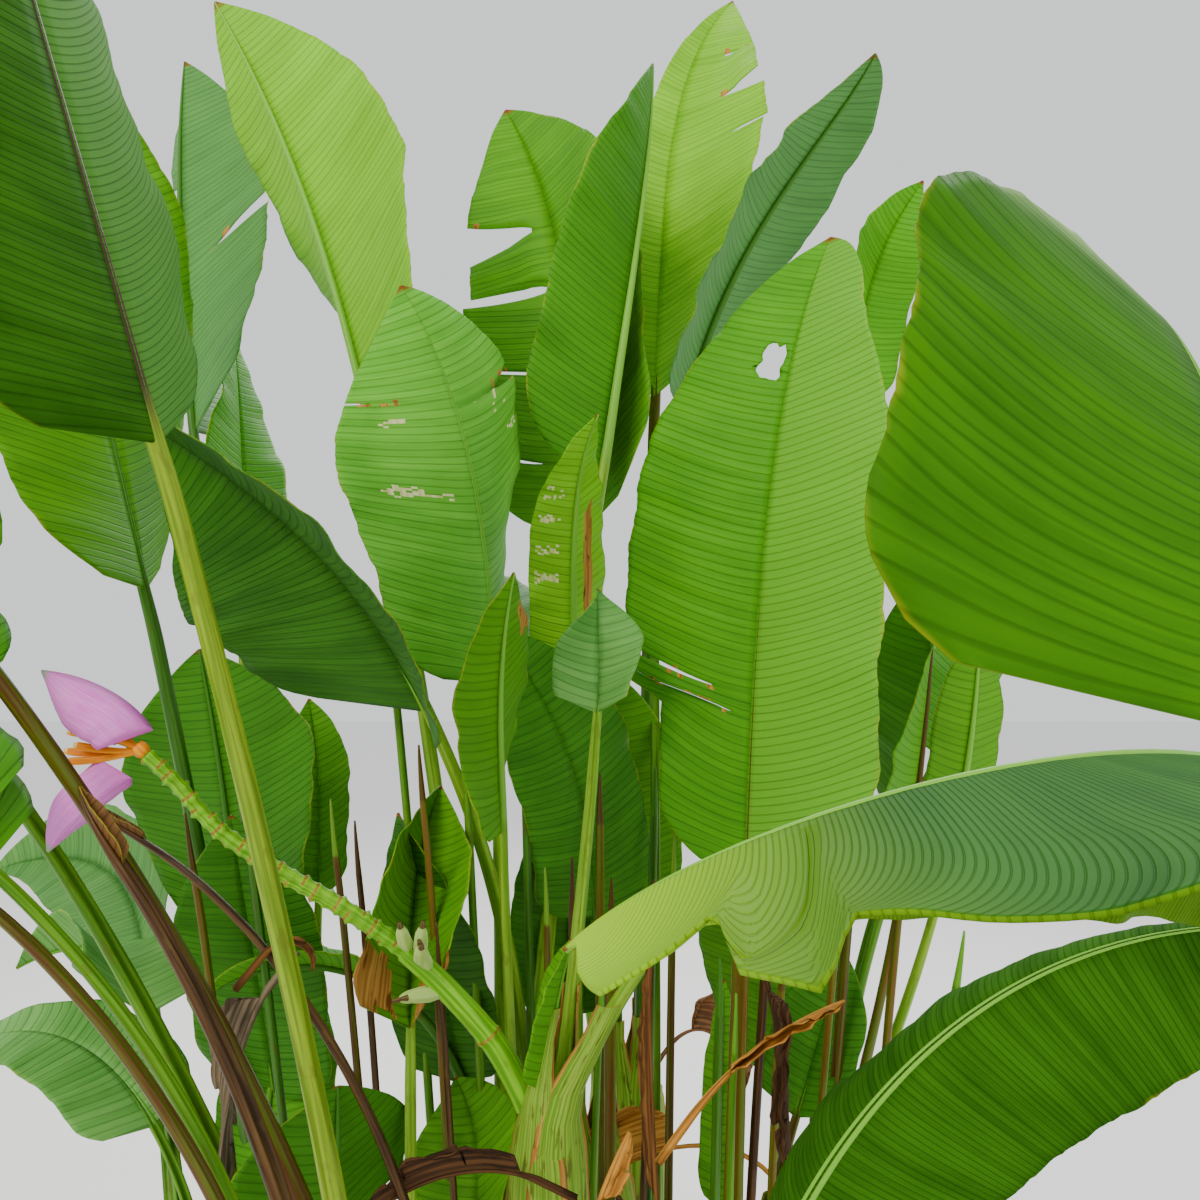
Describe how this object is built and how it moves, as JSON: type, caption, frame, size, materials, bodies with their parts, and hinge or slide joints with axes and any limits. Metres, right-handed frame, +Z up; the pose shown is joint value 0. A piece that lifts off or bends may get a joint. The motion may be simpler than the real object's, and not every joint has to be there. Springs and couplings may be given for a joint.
{
  "type": "ornamental banana plant",
  "caption": "Clump-forming banana plant with upright paddle leaves on long stalks and a nodding pink-bracted flower stalk.",
  "frame": {"origin": "middle of the flat cut under the flowering stem, at ground level", "axes": "+Z up, +Y away from the viewer of the plant's front, +X to that viewer's right"},
  "size_m": [1.9815, 2.0999, 2.5096],
  "materials": {
    "sheath": "waxy",
    "dead": "dry",
    "flower_stalk": "waxy",
    "flower": "matte",
    "bract": "satin",
    "leaf_fresh": "waxy sheen",
    "leaf_deep": "waxy sheen",
    "leaf_grey": "waxy bloom"
  },
  "bodies": {
    "root": {"stem_flower": "sheath", "stem_left": "sheath", "stem_outer_left": "sheath", "stem_low_left": "sheath", "stem_far_left": "sheath", "stem_mid_left": "sheath", "stem_middle": "sheath", "stem_back": "sheath", "stem_mid_right": "sheath", "stem_far_right": "sheath", "stem_near_right": "sheath", "stem_front": "sheath", "leaf_left_tall": "leaf_fresh", "leaf_left_behind": "leaf_deep", "leaf_light_arching": "leaf_fresh", "leaf_scraped": "leaf_grey", "leaf_dark_slanting": "leaf_deep", "leaf_pale_behind": "leaf_fresh", "leaf_torn_grey": "leaf_grey", "leaf_torn_to_rib": "leaf_fresh", "leaf_rolled_dark": "leaf_deep", "leaf_lobed_behind": "leaf_fresh", "leaf_grey_slanting": "leaf_grey", "leaf_centre": "leaf_fresh", "leaf_right_broad": "leaf_fresh", "leaf_front_arching": "leaf_deep", "leaf_front_arching_stalk": "leaf_fresh", "leaf_low_dark": "leaf_deep", "leaf_low_dark_stalk": "leaf_fresh", "leaf_young_yellow": "leaf_fresh", "leaf_burnt_tip": "leaf_fresh", "leaf_young_torn": "leaf_fresh", "leaf_dark_ribbed": "leaf_deep", "leaf_left_shaded": "leaf_deep", "leaf_tattered": "leaf_fresh", "leaf_left_edge": "leaf_fresh", "leaf_right_inner": "leaf_fresh", "leaf_right_inner_small": "leaf_fresh", "leaf_far_left_green": "leaf_fresh", "leaf_far_left_brown": "leaf_fresh", "leaf_far_left_thin": "leaf_fresh", "leaf_foot_spotted": "leaf_fresh", "leaf_foot_dark": "leaf_deep", "leaf_bright_strip": "leaf_fresh", "leaf_level_small": "leaf_deep", "leaf_right_behind": "leaf_fresh", "leaf_low_left": "leaf_fresh", "leaf_low_left_near": "leaf_fresh", "leaf_low_left_far": "leaf_grey", "leaf_right_outer": "leaf_deep", "leaf_right_back": "leaf_fresh", "leaf_back_arching": "leaf_deep", "leaf_front_low": "leaf_fresh", "leaf_short_stalk": "leaf_fresh", "dead_stalk_thick": "dead", "dead_stalk_thin": "dead", "flower_stalk": "flower_stalk", "flowers": "flower", "upper_bract": "bract", "lower_bract": "bract"}
  },
  "joints": []
}
